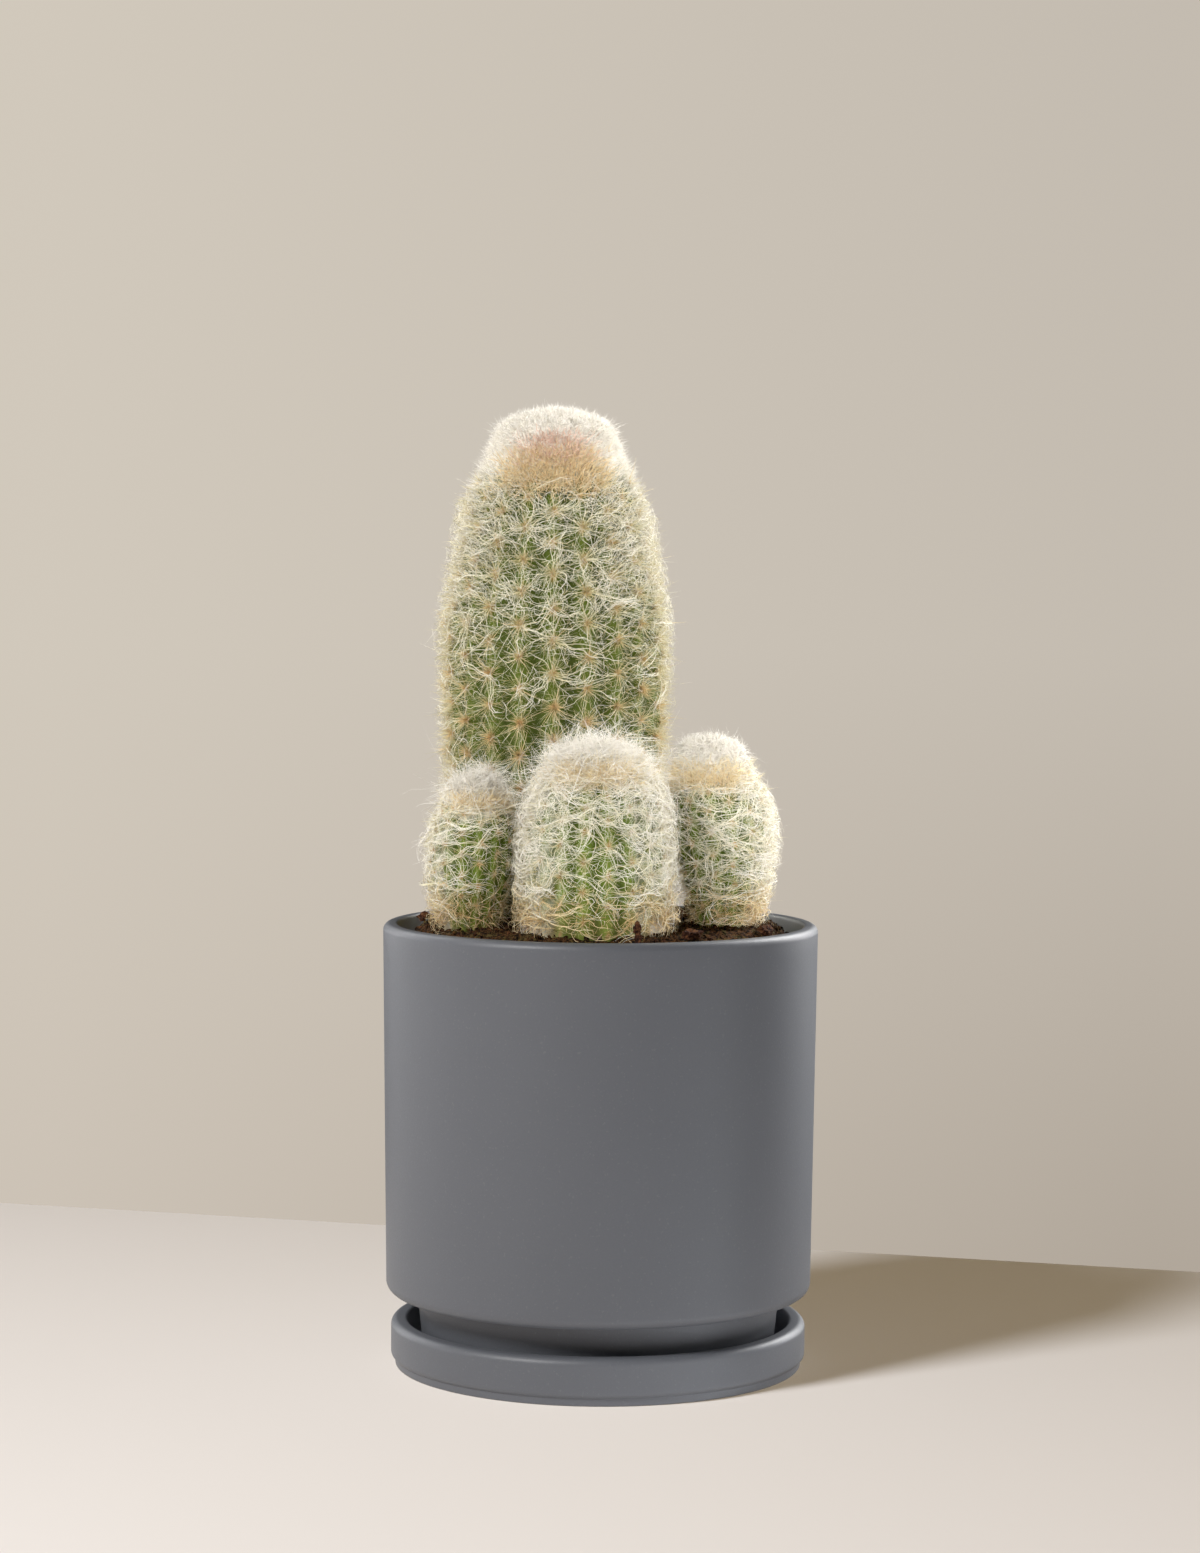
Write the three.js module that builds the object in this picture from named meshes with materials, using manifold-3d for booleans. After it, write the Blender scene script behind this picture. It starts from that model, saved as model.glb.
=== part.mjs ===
// Potted old man cactus: four woolly, ribbed columns standing in potting soil, in a plain
// ceramic cylinder pot that rests in its own shallow saucer.
//
// Units are millimetres. +Z is up and -Y is the front. The origin is the centre of the
// saucer's foot, on the surface that the pot stands on.
//
// The columns are solid to the outside of their spines and wool, because that coat is what a
// hand or a neighbour meets. Each one is planted: it narrows to a root crown that sits in a
// socket in the soil. Bark chips from the potting mix lie on top of the soil.
import * as THREE from "three";
import { mergeVertices } from "three/addons/utils/BufferGeometryUtils.js";
import Module from "manifold-3d";

// ---- driving dimensions -------------------------------------------------------------------
const GAP = 0.3; // clearance left wherever one piece rests on or in another
const CHIP_LIFT = 0.15; // more for a chip, because the soil under it isn't quite flat
const ROUND_SEGMENTS = 64; // facets round the pot, the saucer and the soil

const SAUCER = {
  outerRadius: 62.2,
  innerRadius: 57.2,
  height: 13.9,
  footRadius: 60.9,
  footHeight: 2.4,
  footRingInner: 53.0,
  footRecess: 1.0,
  floorTop: 5.0,
  lipOutside: 2.2, // rounding of the lip's outer edge
  lipInside: 1.0,
};

const POT = {
  outerRadius: 65.0, // at the rim
  lowRadius: 63.7, // outer radius just above the lower edge: the wall has a slight draft
  top: 132.7,
  bodyBottom: 22.2, // underside of the body, above the recessed foot
  lowerEdgeRound: 3.2,
  lipOutside: 2.2, // rounding of the lip's outer edge
  lipInside: 1.0,
  wall: 4.4, // at the rim
  lowWall: 4.8,
  footTopRadius: 54.3,
  footRadius: 53.2, // just above its rounded lower edge
  footEdgeRound: 5.5,
  footRingInner: 43.0,
  footRecess: 2.6,
  floorThickness: 4.0,
  drainRadius: 6.0,
  insideCorner: 4.0, // where the inside of the wall turns in towards the foot
  footCorner: 2.0, // round the inside of the foot
  footNeck: 5.0, // height of the narrowing into the foot
};

// The soil is mounded over the roots. It is level in the middle and falls to the wall: by less
// at the front, where the front stem stands close to the rim.
const SOIL = {
  crownRise: 0.8, // above the rim
  crownRadius: 50,
  wallDrop: 5.4, // below the rim
  frontWallDrop: 0.9,
  frontFrom: 0.35, // the front begins here, as the sine of the angle forward of the sides
  frontFull: 0.85,
  slopeSteps: 4,
};

// A column's outline is its radius at a few heights above the soil, as shares of its height.
// Between them it is a smooth curve, and it closes in a dome at the top.
const COLUMNS = {
  tall_stem: {
    x: -14.4,
    y: 24.0,
    height: 153.6,
    lean: [-0.5, 0],
    ribs: 20,
    ribDepth: 1.3,
    outline: [
      [0.0, 30.2],
      [0.12, 32.4],
      [0.34, 34.6],
      [0.52, 35.2],
      [0.61, 34.3],
      [0.7, 31.6],
      [0.78, 29.5],
      [0.86, 25.8],
      [0.935, 19.8],
      [0.977, 15.2],
    ],
    rings: 18,
  },
  front_stem: {
    x: -1.5,
    y: -33.4,
    height: 56.6,
    lean: [0.2, 0.8],
    ribs: 18,
    ribDepth: 0.9,
    outline: [
      [0.0, 22.6],
      [0.2, 22.9],
      [0.4, 22.9],
      [0.55, 22.2],
      [0.68, 21.1],
      [0.8, 18.9],
      [0.9, 15.6],
      [0.965, 10.6],
    ],
    rings: 12,
  },
  left_stem: {
    x: -38.4,
    y: -20.6,
    height: 45.2,
    lean: [2.4, 1.0],
    ribs: 16,
    ribDepth: 0.8,
    outline: [
      [0.0, 10.8],
      [0.15, 12.2],
      [0.3, 13.6],
      [0.55, 14.3],
      [0.7, 13.3],
      [0.82, 11.6],
      [0.92, 8.6],
      [0.975, 5.0],
    ],
    rings: 12,
  },
  right_stem: {
    x: 36.6,
    y: -9.0,
    height: 56.4,
    lean: [-5.0, 0.6],
    ribs: 16,
    ribDepth: 0.8,
    outline: [
      [0.0, 10.8],
      [0.12, 12.8],
      [0.26, 14.5],
      [0.42, 16.5],
      [0.56, 16.4],
      [0.66, 15.4],
      [0.77, 13.0],
      [0.88, 10.5],
      [0.96, 8.2],
    ],
    rings: 12,
  },
};
// The root crown of a column: how deep it goes, its blunt end, and the outline between, as
// shares of the column's base radius at shares of the depth.
const PLANTED = {
  depth: 14,
  endRadius: 5.5,
  outline: [
    [0.55, 0.72],
    [0.86, 0.3],
  ],
};

// A chip lies at a place on the soil, turned about the vertical. One that leans is tipped up
// on its end by that many degrees.
const CHIPS = {
  bark_splinter_front: { x: 10.4, y: -57.2, turn: 84, lean: 74, length: 6.4, width: 2.4, thick: 1.3 },
  bark_chip_front: { x: 26.2, y: -49.6, turn: 18, lean: 0, length: 6.2, width: 4.0, thick: 2.4 },
  bark_chip_right: { x: 47.6, y: -24.6, turn: 62, lean: 0, length: 7.0, width: 3.6, thick: 1.9 },
  bark_chip_back: { x: 30.0, y: 36.0, turn: -20, lean: 0, length: 9.0, width: 4.4, thick: 2.2 },
  bark_chip_left: { x: -52.4, y: 3.5, turn: 100, lean: 0, length: 6.6, width: 3.4, thick: 2.0 },
};

const COLOURS = {
  ceramic: { color: 0x6c6f75, roughness: 0.6, metalness: 0 },
  soil: { color: 0x3a281c, roughness: 0.95, metalness: 0 },
  stem: { color: 0xc9c9a4, roughness: 0.9, metalness: 0 },
  bark: { color: 0x5a3524, roughness: 0.9, metalness: 0 },
};

// ---- shared helpers -----------------------------------------------------------------------
const wasm = await Module();
wasm.setup();

function material(finish) {
  return new THREE.MeshStandardMaterial(COLOURS[finish]);
}

// Turns a profile of (radius, height) about the vertical axis.
function revolved(points, segments = ROUND_SEGMENTS) {
  return new THREE.LatheGeometry(points, segments).rotateX(Math.PI / 2);
}

// A three.js geometry as a manifold solid, and back.
function solidOf(geometry) {
  const bare = geometry.index ? geometry.toNonIndexed() : geometry.clone();
  bare.deleteAttribute("normal");
  bare.deleteAttribute("uv");
  const merged = mergeVertices(bare, 1e-3);
  return new wasm.Manifold(
    new wasm.Mesh({
      numProp: 3,
      vertProperties: merged.attributes.position.array,
      triVerts: new Uint32Array(merged.index.array),
    }),
  );
}

function geometryOf(solid) {
  const mesh = solid.getMesh();
  return new THREE.BufferGeometry()
    .setAttribute("position", new THREE.BufferAttribute(mesh.vertProperties, 3))
    .setIndex(new THREE.BufferAttribute(mesh.triVerts, 1));
}

// ---- saucer -------------------------------------------------------------------------------
// A rounded lip, from the top of the outer wall over to the top of the inner wall.
function addLip(profile, { outerRadius, lipOutside, lipInside }, top, innerRadius) {
  profile.lineTo(outerRadius, top - lipOutside);
  profile.absarc(outerRadius - lipOutside, top - lipOutside, lipOutside, 0, Math.PI / 2);
  profile.lineTo(innerRadius + lipInside, top);
  profile.absarc(innerRadius + lipInside, top - lipInside, lipInside, Math.PI / 2, Math.PI);
}

function saucerGeometry() {
  const s = SAUCER;
  const cove = 2.6; // fillet between the floor and the wall
  const lowerRound = 1.6; // the wall's lower edge, above the foot
  const profile = new THREE.Path();
  profile.moveTo(0, s.footRecess);
  profile.lineTo(s.footRingInner, s.footRecess);
  profile.lineTo(s.footRingInner + s.footRecess, 0);
  profile.lineTo(s.footRadius - 0.5, 0);
  profile.lineTo(s.footRadius, 0.5);
  profile.lineTo(s.footRadius, s.footHeight);
  profile.quadraticCurveTo(s.outerRadius, s.footHeight, s.outerRadius, s.footHeight + lowerRound);
  addLip(profile, s, s.height, s.innerRadius);
  profile.lineTo(s.innerRadius, s.floorTop + cove);
  profile.absarc(s.innerRadius - cove, s.floorTop + cove, cove, 0, -Math.PI / 2, true);
  profile.lineTo(0, s.floorTop);
  return revolved(profile.getPoints(3));
}

// ---- pot ----------------------------------------------------------------------------------
const FOOT_BOTTOM = SAUCER.floorTop + GAP;
const FLOOR_TOP = FOOT_BOTTOM + POT.footRecess + POT.floorThickness;
const INSIDE_RIM = POT.outerRadius - POT.wall;

// The pot's inside from its floor up to the wall, drawn in by a clearance.
function insideOutline(clearance) {
  const { insideCorner, footCorner, footNeck } = POT;
  const low = POT.lowRadius - POT.lowWall - clearance;
  const foot = POT.footRadius - POT.lowWall - clearance;
  const shoulder = POT.bodyBottom + POT.lowWall;
  return [
    [foot - footCorner, FLOOR_TOP + clearance],
    [foot, FLOOR_TOP + footCorner + clearance],
    [foot, shoulder - footNeck],
    [foot + footCorner, shoulder - footCorner + clearance],
    [low - insideCorner, shoulder + clearance],
    [low, shoulder + insideCorner],
  ];
}

// The outside from the drain hole to the lip, then down the inside and back to the drain hole.
function potGeometry() {
  const p = POT;
  const neck = 1; // the small bevel where the foot meets the body
  const round = p.footEdgeRound;
  const profile = new THREE.Path();
  profile.moveTo(p.drainRadius, FOOT_BOTTOM + p.footRecess);
  profile.lineTo(p.footRingInner - p.footRecess / 2, FOOT_BOTTOM + p.footRecess);
  profile.lineTo(p.footRingInner, FOOT_BOTTOM);
  profile.lineTo(p.footRadius - round, FOOT_BOTTOM);
  profile.absarc(p.footRadius - round, FOOT_BOTTOM + round, round, -Math.PI / 2, 0);
  profile.lineTo(p.footTopRadius, p.bodyBottom - neck);
  profile.lineTo(p.footTopRadius + neck, p.bodyBottom);
  profile.lineTo(p.lowRadius - p.lowerEdgeRound, p.bodyBottom);
  profile.absarc(
    p.lowRadius - p.lowerEdgeRound, p.bodyBottom + p.lowerEdgeRound, p.lowerEdgeRound,
    -Math.PI / 2, 0,
  );
  addLip(profile, p, p.top, INSIDE_RIM);
  for (const [radius, height] of insideOutline(0).reverse()) profile.lineTo(radius, height);
  profile.lineTo(p.drainRadius, FLOOR_TOP);
  profile.lineTo(p.drainRadius, FOOT_BOTTOM + p.footRecess);
  return revolved(profile.getPoints(4));
}

// ---- soil ---------------------------------------------------------------------------------
// Height of the soil's surface at a place.
function soilHeight(x, y) {
  const { lerp, smoothstep } = THREE.MathUtils;
  const distance = Math.hypot(x, y);
  const frontness = distance > 0 ? smoothstep(-y / distance, SOIL.frontFrom, SOIL.frontFull) : 0;
  const drop = lerp(SOIL.wallDrop, SOIL.frontWallDrop, frontness);
  const share = smoothstep(distance, SOIL.crownRadius, INSIDE_RIM);
  return POT.top + lerp(SOIL.crownRise, -drop, share);
}

function soilGeometry(columns) {
  const profile = [[0, FLOOR_TOP + GAP], ...insideOutline(GAP)];
  for (let i = 0; i <= SOIL.slopeSteps; i++) {
    const share = i / SOIL.slopeSteps;
    profile.push([THREE.MathUtils.lerp(INSIDE_RIM - GAP, SOIL.crownRadius, share), POT.top]);
  }
  profile.push([0, POT.top]);
  const turned = revolved(profile.map(([r, z]) => new THREE.Vector2(r, z)));
  const position = turned.attributes.position;
  for (let i = 0; i < position.count; i++) {
    const onTop = position.getZ(i) > POT.top - 1;
    if (onTop) position.setZ(i, soilHeight(position.getX(i), position.getY(i)));
  }
  let soil = solidOf(turned);
  for (const column of columns) soil = soil.subtract(solidOf(columnGeometry(column, GAP)));
  return geometryOf(soil);
}

// ---- cactus columns -----------------------------------------------------------------------
// Radius against height above the soil, as one smooth curve from the root crown to the tip.
function columnProfile(column, grown) {
  const { height, outline, rings } = column;
  const [, baseRadius] = outline[0];
  const curve = new THREE.SplineCurve([
    ...outline.map(([share, radius]) => new THREE.Vector2(radius, share * height)),
    new THREE.Vector2(0, height),
  ]);
  const { depth, endRadius } = PLANTED;
  const buried = [
    [0, -depth],
    [endRadius, -depth],
    ...PLANTED.outline.map(([share, deep]) => [baseRadius * share, -depth * deep]),
  ].map(([r, z]) => new THREE.Vector2(r, z));
  const points = [...buried, ...curve.getSpacedPoints(rings)];
  const last = points.length - 1;
  return points.map((p, i) => {
    const radius = i === 0 || i === last ? 0 : p.x + grown;
    const down = i < buried.length ? grown : 0;
    const up = i === last ? grown : 0;
    return new THREE.Vector2(radius, p.y - down + up);
  });
}

// A ribbed column. grown makes it fatter all round, for the socket that it stands in.
function columnGeometry(column, grown = 0) {
  const geometry = revolved(columnProfile(column, grown), column.ribs * 2);
  const base = POT.top + SOIL.crownRise;
  const at = new THREE.Vector3();
  const position = geometry.attributes.position;
  for (let i = 0; i < position.count; i++) {
    at.fromBufferAttribute(position, i);
    const radius = Math.hypot(at.x, at.y);
    const share = THREE.MathUtils.clamp(at.z / column.height, 0, 1);
    // Ribs stand highest on the flanks, and fade into the root crown and the woolly tip.
    const flank = Math.sin(Math.PI * share);
    const groove = 0.5 - 0.5 * Math.cos(column.ribs * Math.atan2(at.y, at.x));
    const ribbed = radius > 0 ? 1 - (column.ribDepth * flank * groove) / radius : 0;
    const depth = grown > 0 ? 1 : ribbed;
    const bend = share * share;
    position.setXYZ(
      i,
      column.x + at.x * depth + column.lean[0] * bend,
      column.y + at.y * depth + column.lean[1] * bend,
      base + at.z,
    );
  }
  return geometry;
}

// ---- bark chips ---------------------------------------------------------------------------
function chipGeometry({ length, width, thick }) {
  const half = length / 2;
  const side = width / 2;
  const outline = new THREE.Shape([
    new THREE.Vector2(-half, -side * 0.35),
    new THREE.Vector2(-half * 0.55, -side),
    new THREE.Vector2(half * 0.62, -side * 0.82),
    new THREE.Vector2(half, side * 0.1),
    new THREE.Vector2(half * 0.4, side),
    new THREE.Vector2(-half * 0.7, side * 0.74),
  ]);
  return new THREE.ExtrudeGeometry(outline, { depth: thick, bevelEnabled: false });
}

// Lays a chip on the soil's slope, just clear of it. A leaning chip turns about its lower end.
function layChip(mesh, chip) {
  const reach = 2.5;
  const riseX = soilHeight(chip.x + reach, chip.y) - soilHeight(chip.x - reach, chip.y);
  const riseY = soilHeight(chip.x, chip.y + reach) - soilHeight(chip.x, chip.y - reach);
  const up = new THREE.Vector3(0, 0, 1);
  const normal = new THREE.Vector3(-riseX, -riseY, 2 * reach).normalize();
  const turn = new THREE.Quaternion().setFromAxisAngle(up, THREE.MathUtils.degToRad(chip.turn));
  const lean = new THREE.Quaternion().setFromAxisAngle(
    new THREE.Vector3(0, 1, 0), THREE.MathUtils.degToRad(-chip.lean),
  );
  mesh.quaternion.setFromUnitVectors(up, normal).multiply(turn).multiply(lean);
  mesh.position.set(chip.x, chip.y, soilHeight(chip.x, chip.y));
  const halfLength = (chip.length / 2) * Math.sin(THREE.MathUtils.degToRad(chip.lean));
  mesh.position.addScaledVector(normal, halfLength + GAP + CHIP_LIFT);
}

// ---- the assembly -------------------------------------------------------------------------
function addPiece(group, name, geometry, finish) {
  const mesh = new THREE.Mesh(geometry, material(finish));
  mesh.name = name;
  group.add(mesh);
  return mesh;
}

const pottedCactus = new THREE.Group();
addPiece(pottedCactus, "saucer", saucerGeometry(), "ceramic");
addPiece(pottedCactus, "pot", potGeometry(), "ceramic");
addPiece(pottedCactus, "soil", soilGeometry(Object.values(COLUMNS)), "soil");
for (const [name, column] of Object.entries(COLUMNS)) {
  addPiece(pottedCactus, name, columnGeometry(column), "stem");
}
for (const [name, chip] of Object.entries(CHIPS)) {
  layChip(addPiece(pottedCactus, name, chipGeometry(chip), "bark"), chip);
}

export default pottedCactus;
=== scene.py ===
"""Potted old man cactus: woolly ribbed stems in soil, in a matte grey pot on its saucer.

Lengths are millimetres until a mesh is made, and metres from there on. The CAD frame gives
every place: the stems grow inside the boxes of their CAD nodes, and the pot and the saucer
follow the same profile as their nodes.
"""

import math

import bpy
import numpy as np
from mathutils import Matrix, Quaternion, Vector


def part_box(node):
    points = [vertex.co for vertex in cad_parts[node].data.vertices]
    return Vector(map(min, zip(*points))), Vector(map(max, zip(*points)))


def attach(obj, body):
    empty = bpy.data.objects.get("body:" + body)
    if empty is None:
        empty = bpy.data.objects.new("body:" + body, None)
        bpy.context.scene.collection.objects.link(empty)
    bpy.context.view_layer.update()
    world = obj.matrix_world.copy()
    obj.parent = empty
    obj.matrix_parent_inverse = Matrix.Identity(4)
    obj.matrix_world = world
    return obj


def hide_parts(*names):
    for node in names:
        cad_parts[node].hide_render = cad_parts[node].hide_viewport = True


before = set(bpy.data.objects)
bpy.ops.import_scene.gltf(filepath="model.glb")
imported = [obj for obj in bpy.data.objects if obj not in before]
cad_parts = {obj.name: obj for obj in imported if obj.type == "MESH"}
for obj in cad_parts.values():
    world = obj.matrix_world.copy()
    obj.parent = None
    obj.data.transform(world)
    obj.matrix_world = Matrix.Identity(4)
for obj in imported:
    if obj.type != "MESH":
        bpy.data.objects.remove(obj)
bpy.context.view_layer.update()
MM = 0.001


# ---- shared helpers -----------------------------------------------------------------------
def box_mm(node):
    low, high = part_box(node)
    return np.array(low) / MM, np.array(high) / MM


def smoothstep(low, high, x):
    share = np.clip((np.asarray(x, float) - low) / (high - low), 0, 1)
    return share * share * (3 - 2 * share)


def lerp(a, b, share):
    return a + (b - a) * share


def unit(v):
    return v / np.maximum(np.linalg.norm(v, axis=-1, keepdims=True), 1e-9)


def all_round(count):
    """Even angles round a circle."""
    return np.arange(count) * (2 * np.pi / count)


def waves(points, wavelength, seed, count=12):
    """Smooth noise from -1 to 1 or so: a sum of sine waves that run in random directions."""
    rng = np.random.default_rng(seed)
    ways = unit(rng.normal(size=(count, 3))) * rng.uniform(0.7, 1.5, (count, 1))
    phases = rng.uniform(0, 2 * np.pi, count)
    total = np.sin(points @ ways.T * (2 * np.pi / wavelength) + phases).sum(-1)
    return total / math.sqrt(count / 2) / 1.6


def ring_quads(rows, columns, rows_close=False):
    """Quads over rows of vertices. Each row closes on itself, and the rows do too if asked."""
    row = np.arange(rows if rows_close else rows - 1)[:, None]
    here = np.arange(columns)
    after = (here + 1) % columns
    this, following = row * columns, (row + 1) % rows * columns
    quads = np.stack([this + here, following + here, following + after, this + after], -1)
    return quads.reshape(-1, 4)


def mesh_from(name, vertices, faces_by_size, smooth=True):
    """A mesh from vertices in millimetres and arrays of faces, one array for each face size."""
    mesh = bpy.data.meshes.new(name)
    loops = np.concatenate([f.ravel() for f in faces_by_size]).astype(np.int32)
    sizes = np.concatenate([np.full(len(f), f.shape[1]) for f in faces_by_size])
    starts = np.concatenate([[0], np.cumsum(sizes)[:-1]]).astype(np.int32)
    mesh.vertices.add(len(vertices))
    mesh.vertices.foreach_set("co", (np.asarray(vertices) * MM).astype(np.float32).ravel())
    mesh.loops.add(len(loops))
    mesh.loops.foreach_set("vertex_index", loops)
    mesh.polygons.add(len(sizes))
    mesh.polygons.foreach_set("loop_start", starts)
    mesh.polygons.foreach_set("use_smooth", np.full(len(sizes), smooth))
    mesh.update(calc_edges=True)
    return mesh


def places_mm(mesh):
    places = np.empty(len(mesh.vertices) * 3, np.float32)
    mesh.vertices.foreach_get("co", places)
    return places.reshape(-1, 3).astype(float) / MM


def paint(mesh, name, values):
    """One number a vertex, under the name that a material reads it by."""
    layer = mesh.attributes.new(name, "FLOAT", "POINT")
    layer.data.foreach_set("value", values.astype(np.float32))


def add_object(name, data):
    made = bpy.data.objects.new(name, data)
    bpy.context.scene.collection.objects.link(made)
    return made


def add_piece(mesh, material, replaces=()):
    piece = add_object(mesh.name, mesh)
    mesh.materials.append(material)
    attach(piece, "root")
    if replaces:
        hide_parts(*replaces)
    return piece


# ---- materials ----------------------------------------------------------------------------
class Nodes:
    """A node tree, with short ways to add and link nodes."""

    def __init__(self, tree):
        self.tree = tree

    def feed(self, socket, value):
        if isinstance(value, bpy.types.NodeSocket):
            self.tree.links.new(value, socket)
        else:
            socket.default_value = (*value, 1) if socket.type == "RGBA" else value

    def fill(self, node, **inputs):
        """Feed a node's inputs by name, with _ for each space."""
        for name, value in inputs.items():
            self.feed(node.inputs[name.replace("_", " ")], value)
        return node

    def node(self, kind, **inputs):
        return self.fill(self.tree.nodes.new("ShaderNode" + kind), **inputs)

    def noise(self, place, scale, detail, roughness=0.55):
        made = self.node("TexNoise", Vector=place, Scale=scale, Detail=detail, Roughness=roughness)
        return made.outputs["Fac"]

    def math(self, operation, a, b):
        made = self.node("Math")
        made.operation = operation
        self.feed(made.inputs[0], a)
        self.feed(made.inputs[1], b)
        return made.outputs[0]

    def add(self, a, b):
        return self.math("ADD", a, b)

    def times(self, a, b):
        return self.math("MULTIPLY", a, b)

    def ramp(self, factor, *stops):
        made = self.node("ValToRGB", Fac=factor)
        elements = made.color_ramp.elements
        while len(elements) < len(stops):
            elements.new(0.5)
        for element, (position, colour) in zip(elements, stops):
            element.position = position
            element.color = (*colour, 1)
        return made.outputs["Color"]

    def mix(self, factor, a, b):
        made = self.node("Mix")
        made.data_type = "RGBA"
        return self.fill(made, Factor=factor, A=a, B=b).outputs["Result"]

    def blend(self, share, first, second):
        """A mix of two shaders."""
        made = self.node("MixShader", Fac=share)
        self.feed(made.inputs[1], first)
        self.feed(made.inputs[2], second)
        return made.outputs["Shader"]

    def attribute(self, name):
        made = self.node("Attribute")
        made.attribute_name = name
        return made.outputs["Fac"]

    def place(self, kind="Object"):
        return self.node("TexCoord").outputs[kind]


class Shader(Nodes):
    """A material and its node tree."""

    def __init__(self, name):
        self.material = bpy.data.materials.new(name)
        self.material.use_nodes = True
        super().__init__(self.material.node_tree)
        self.principled = self.tree.nodes["Principled BSDF"]

    def surface(self, colour, roughness, shine):
        self.fill(self.principled, Base_Color=colour, Roughness=roughness, Specular_IOR_Level=shine)

    def bump(self, height, distance, strength=1.0):
        made = self.node("Bump", Height=height, Distance=distance, Strength=strength)
        self.fill(self.principled, Normal=made.outputs["Normal"])

    def let_light_through(self, colour, share):
        """Thin hair: a share of the light passes through it and comes out on the far side."""
        through = self.node("BsdfTranslucent", Color=colour).outputs["BSDF"]
        both = self.blend(share, self.principled.outputs["BSDF"], through)
        self.fill(self.tree.nodes["Material Output"], Surface=both)


def grey(value):
    return (value, value, value)


def ceramic_material():
    """Matte slate glaze: a very fine grain, faint clouds and a few pale pinpricks, and painted light on
    the inner wall, which is a lighter grey.
    """
    s = Shader("matte_ceramic")
    place = s.place()
    grain = s.noise(place, 2300, 2.0, 0.7)
    fleck = s.ramp(s.noise(place, 1300, 1.0, 0.5), (0.66, grey(0.0)), (0.74, grey(1.0)))
    cloud = s.noise(place, 26, 3.0)
    base = s.mix(cloud, (0.107, 0.114, 0.130), (0.122, 0.129, 0.146))
    grained = s.mix(s.times(grain, 0.5), base, (0.088, 0.093, 0.108))
    flecked = s.mix(s.times(fleck, 0.5), grained, (0.150, 0.156, 0.168))
    # Painted light: the inner wall above the foot is a lighter grey, as if the lamps lit it.
    colour = s.mix(s.attribute("inside"), flecked, (0.240, 0.252, 0.275))
    s.surface(colour, s.add(0.40, s.times(grain, 0.18)), 0.6)
    s.bump(s.add(grain, s.times(cloud, 1.4)), 0.00006, 0.6)
    return s.material


def soil_material():
    """Dark mix with orange-brown bits and a little olive moss."""
    s = Shader("potting_soil")
    place = s.place()
    coarse = s.noise(place, 260, 3.0, 0.6)
    grain = s.noise(place, 900, 3.0, 0.7)
    fine = s.noise(place, 2200, 3.0, 0.7)
    dark = s.ramp(
        grain,
        (0.34, (0.006, 0.004, 0.003)),
        (0.48, (0.030, 0.016, 0.009)),
        (0.56, (0.210, 0.098, 0.036)),
        (0.64, (0.040, 0.022, 0.012)),
    )
    mossy = s.ramp(
        grain,
        (0.38, (0.014, 0.011, 0.005)),
        (0.50, (0.075, 0.058, 0.018)),
        (0.60, (0.230, 0.175, 0.065)),
    )
    patches = s.ramp(coarse, (0.50, grey(0.0)), (0.60, grey(0.8)))
    s.surface(s.mix(patches, dark, mossy), 0.95, 0.1)
    s.bump(s.add(fine, grain), 0.0012)
    return s.material


def bark_material():
    """Red-brown bark whose fibres run up and down."""
    s = Shader("bark")
    place = s.place()
    stretched = s.node("Mapping", Vector=place, Scale=(1.0, 1.0, 0.18)).outputs["Vector"]
    fibre = s.noise(stretched, 1600, 3.0, 0.6)
    patch = s.noise(place, 620, 3.0, 0.6)
    colour = s.ramp(
        patch,
        (0.34, (0.014, 0.007, 0.005)),
        (0.47, (0.075, 0.026, 0.014)),
        (0.58, (0.260, 0.112, 0.046)),
        (0.72, (0.040, 0.017, 0.011)),
    )
    s.surface(s.mix(s.times(fibre, 0.6), colour, (0.030, 0.014, 0.009)), 0.9, 0.15)
    s.bump(fibre, 0.0010)
    return s.material


def flesh_material():
    """Green skin, with painted shade that darkens it into the grooves, corky near the soil and white
    under the wool.
    """
    s = Shader("cactus_flesh")
    place = s.place()
    cloud = s.noise(place, 90, 3.0)
    fine = s.noise(place, 1300, 3.0, 0.6)
    # The skin darkens from each rib's crest down into its groove: this is painted shade.
    old = s.ramp(
        s.attribute("crest"),
        (0.0, (0.024, 0.040, 0.003)),
        (0.45, (0.062, 0.098, 0.008)),
        (1.0, (0.118, 0.165, 0.018)),
    )
    young = s.ramp(
        s.attribute("crest"),
        (0.0, (0.045, 0.080, 0.006)),
        (0.45, (0.115, 0.185, 0.016)),
        (1.0, (0.190, 0.280, 0.036)),
    )
    skin = s.mix(s.attribute("young"), old, young)
    varied = s.mix(s.times(cloud, 0.4), skin, (0.110, 0.155, 0.020))
    flecked = s.mix(s.times(fine, 0.3), varied, (0.170, 0.200, 0.045))
    felted = s.mix(s.attribute("areole"), flecked, (0.430, 0.250, 0.100))
    cork = s.times(s.attribute("cork"), s.add(cloud, 0.3))
    corky = s.mix(cork, felted, (0.330, 0.215, 0.095))
    s.surface(s.mix(s.attribute("fleece"), corky, (0.880, 0.845, 0.780)), 0.7, 0.2)
    s.bump(s.add(fine, cloud), 0.0004)
    return s.material


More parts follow.
